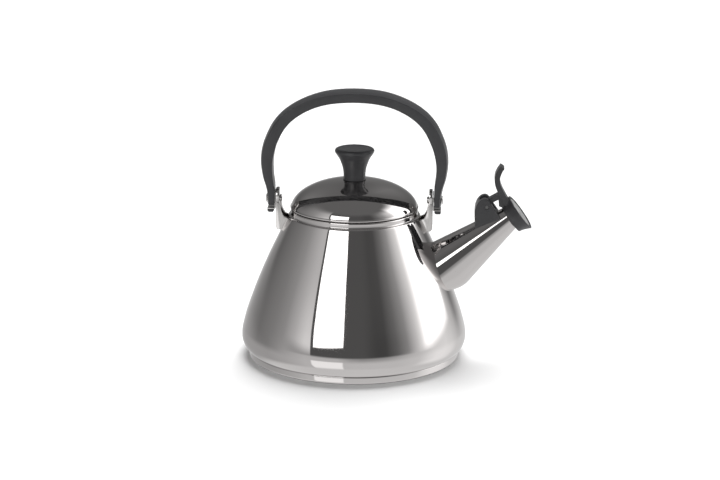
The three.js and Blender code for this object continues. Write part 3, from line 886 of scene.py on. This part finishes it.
def floor():
    verts, faces = lathe_data([(0, 0), (4000, 0)], 64)
    obj = mesh_object("floor", verts - np.array([0, 0, 0.02]), faces)
    material, nodes, links, shader, where = new_material("floor_white")
    shader.inputs["Roughness"].default_value = 0.9
    shader.inputs["Specular IOR Level"].default_value = 0.1
    paint(nodes, links, shader, noise(nodes, links, where, 3, 2), (0.88, 0.88, 0.88), (0.9, 0.9, 0.9))
    obj.data.materials.append(material)
    obj.visible_glossy = False


def contact_shade():
    """What the steel mirrors of the table right under the base, where no light reaches."""
    verts, faces = lathe_data([(0, 0), (BASE["radius"] - 1, 0)], 96)
    obj = mesh_object("contact_shade", verts - np.array([0, 0, 0.01]), faces)
    material, nodes, links, shader, where = new_material("contact_shade")
    paint(nodes, links, shader, noise(nodes, links, where, 20, 2), (0.02, 0.02, 0.02), (0.03, 0.03, 0.03))
    shader.inputs["Specular IOR Level"].default_value = 0.0
    obj.data.materials.append(material)
    obj.visible_camera = False
    obj.visible_diffuse = False
    obj.visible_shadow = False


def sun(name, energy, spread, tip, lean, shadow=True):
    """A soft distant light; tip leans it over X and lean over Y, in degrees. Steel does not mirror it."""
    data = bpy.data.lights.new(name, "SUN")
    data.energy = energy
    data.angle = math.radians(spread)
    data.use_shadow = shadow
    obj = bpy.data.objects.new(name, data)
    bpy.context.collection.objects.link(obj)
    obj.rotation_euler = (math.radians(tip), math.radians(lean), 0)
    obj.visible_glossy = False


class Sky:
    """The studio's light by direction, in degrees: azimuth 0 is towards -Y, and 90 towards +X."""

    def __init__(self):
        world = bpy.data.worlds.new("studio")
        bpy.context.scene.world = world
        world.use_nodes = True
        self.nodes, self.links = world.node_tree.nodes, world.node_tree.links
        self.nodes.clear()
        split = self.nodes.new("ShaderNodeSeparateXYZ")
        self.links.new(self.nodes.new("ShaderNodeTexCoord").outputs["Generated"], split.inputs["Vector"])
        x, y, z = split.outputs
        back = self.math("MULTIPLY", y, -1.0)
        self.azimuth = self.math("MULTIPLY", self.math("ARCTAN2", x, back), 180 / math.pi)
        self.elevation = self.math("MULTIPLY", self.math("ARCSINE", z), 180 / math.pi)
        self.leaned = self.math("ADD", self.azimuth, self.math("MULTIPLY", self.elevation, LEAN))

    def math(self, operation, a, b=None):
        node = self.nodes.new("ShaderNodeMath")
        node.operation = operation
        for socket, value in zip(node.inputs, (a, b)):
            if isinstance(value, (int, float)):
                socket.default_value = value
            elif value is not None:
                self.links.new(value, socket)
        return node.outputs[0]

    def step(self, value, start, end):
        """0 at start and 1 at end, smooth between; start may be above end."""
        node = self.nodes.new("ShaderNodeMapRange")
        node.interpolation_type = "SMOOTHSTEP"
        low, high = min(start, end), max(start, end)
        node.inputs["From Min"].default_value = low
        node.inputs["From Max"].default_value = high
        node.inputs["To Min"].default_value = 0.0 if start < end else 1.0
        node.inputs["To Max"].default_value = 1.0 if start < end else 0.0
        self.links.new(value, node.inputs["Value"])
        return node.outputs["Result"]

    def both(self, *masks):
        result = masks[0]
        for mask in masks[1:]:
            result = self.math("MULTIPLY", result, mask)
        return result

    def over(self, mask, above, below):
        """above where the mask is 1, below where it is 0."""
        keep = self.math("SUBTRACT", 1.0, mask)
        return self.math("ADD", self.math("MULTIPLY", above, mask), self.math("MULTIPLY", below, keep))

    def ring(self, stops):
        """A brightness for each azimuth: stops are (azimuth, brightness)."""
        fac = self.math("ADD", self.math("MULTIPLY", self.azimuth, 1 / 360), 0.5)
        ramp = self.nodes.new("ShaderNodeValToRGB")
        elements = ramp.color_ramp.elements
        for i, (azimuth, value) in enumerate(stops):
            spot = azimuth / 360 + 0.5
            element = elements[i] if i < 2 else elements.new(spot)
            element.position = spot
            element.color = (value, value, value, 1)
        self.links.new(fac, ramp.inputs["Fac"])
        return ramp.outputs["Color"]


# Brightness round the studio, as (azimuth, brightness). The first two stops are the ramp's ends.
LOW_WALLS = [
    (-180, 0.2), (180, 0.2), (-144, 0.12), (-132, 0.16), (-110, 0.24), (-92, 0.3), (-77, 0.39),
    (-63, 0.64), (-50, 0.98), (-40, 1.02), (-8, 0.1), (12, 0.07), (36, 0.08), (48, 0.17), (60, 0.34),
    (72, 0.8), (84, 1.5), (124, 1.4), (132, 0.38), (144, 0.13), (158, 0.16),
]
HIGH_WALLS = [
    (-180, 0.14), (180, 0.14), (-156, 0.2), (-144, 0.24), (-130, 0.2), (-116, 0.16), (-100, 0.27),
    (-78, 0.41), (-54, 0.68), (-42, 0.72), (-8, 0.12), (24, 0.09), (36, 0.1), (48, 0.22), (60, 0.42),
    (72, 0.9), (84, 1.3), (116, 1.1), (126, 0.12), (146, 0.17), (166, 0.24),
]
FAR_TABLE = [
    (-180, 0.3), (180, 0.3), (-144, 0.32), (-114, 0.23), (-96, 0.29), (-84, 0.38), (-72, 0.5),
    (-48, 0.67), (-14, 0.66), (0, 0.46), (12, 0.39), (36, 0.44), (48, 0.54), (72, 0.76), (90, 0.98),
    (110, 1.02), (122, 0.86), (132, 0.64), (142, 0.16), (160, 0.17),
]
NEAR_TABLE = [
    (-180, 0.7), (180, 0.7), (-168, 0.62), (-144, 0.48), (-96, 0.48), (-72, 0.56), (-60, 0.62),
    (-48, 0.7), (0, 0.73), (48, 0.75), (72, 0.82), (84, 1.03), (96, 1.18), (108, 1.17), (120, 1.07),
    (132, 0.86), (150, 0.78),
]
SOFTBOX = {"left": 3.0, "right": 2.4}


def room(sky):
    """Walls, ceiling and the two softboxes, above the horizon."""
    walls = sky.over(sky.step(sky.elevation, 10, 32), sky.ring(HIGH_WALLS), sky.ring(LOW_WALLS))
    shade = sky.both(sky.step(sky.elevation, 11, 4), sky.step(sky.azimuth, -90, -62),
                     sky.step(sky.azimuth, -38, -42))
    walls = sky.over(shade, 0.42, walls)
    dark = sky.both(sky.step(sky.leaned, -41.2, -40.4), sky.step(sky.azimuth, 30, 10))
    light = sky.over(dark, 0.11, walls)
    light = sky.over(sky.step(sky.elevation, 36, 58), 0.17, light)
    sill = sky.math("SUBTRACT", sky.elevation, sky.math("MULTIPLY", sky.azimuth, 0.085))
    left_box = sky.both(sky.step(sky.leaned, -37.9, -37.1), sky.step(sky.azimuth, -8.2, -8.8),
                        sky.step(sill, 13.4, 14), sky.step(sky.elevation, 39.6, 38.2))
    light = sky.over(left_box, SOFTBOX["left"], light)
    right_box = sky.both(sky.step(sky.azimuth, 76, 90), sky.step(sky.azimuth, 127, 122),
                         sky.step(sky.elevation, -4, 4), sky.step(sky.elevation, 62, 36))
    return sky.over(right_box, SOFTBOX["right"], light)


def ground(sky):
    """The pale table, below the horizon: dimmer far away, with the left softbox's gleam on it."""
    light = sky.over(sky.step(sky.elevation, 1, -13), sky.ring(NEAR_TABLE), sky.ring(FAR_TABLE))
    gleam = sky.both(sky.step(sky.azimuth, -42, -40), sky.step(sky.azimuth, -7.5, -9.5),
                     sky.step(sky.elevation, -6.5, -9.5), sky.step(sky.elevation, -52, -30))
    light = sky.over(gleam, 1.28, light)
    return sky.over(sky.step(sky.elevation, -30, -48), 0.81, light)


def studio():
    sky = Sky()
    light = sky.over(sky.step(sky.elevation, 6.5, 0), ground(sky), room(sky))
    path = sky.nodes.new("ShaderNodeLightPath")
    light = sky.over(path.outputs["Is Diffuse Ray"], sky.math("MULTIPLY", light, 0.32), light)
    strength = sky.over(path.outputs["Is Camera Ray"], 1.0, light)
    background = sky.nodes.new("ShaderNodeBackground")
    background.inputs["Color"].default_value = (1, 1, 1, 1)
    sky.links.new(strength, background.inputs["Strength"])
    output = sky.nodes.new("ShaderNodeOutputWorld")
    sky.links.new(background.outputs["Background"], output.inputs["Surface"])


camera()
floor()
contact_shade()
sun("overhead", 4.2, 46, -28, 3)
sun("front_fill", 0.9, 60, 66, 24, shadow=False)
studio()
carried_over()
body_shell()
base_cap()
spout_tube()
lid_dome()
lid_skirt()
lid_knob()
handle_grip()
for end_side, end_place in ((1, "spout_side"), (-1, "back_side")):
    bracket(end_side, end_place)
    rivet(end_side, end_place)
    strap(end_side, end_place)
    strap_pad(end_side, end_place)
whistle_housing()
whistle_cap()
whistle_disc()

bpy.context.scene.view_settings.view_transform = "Standard"
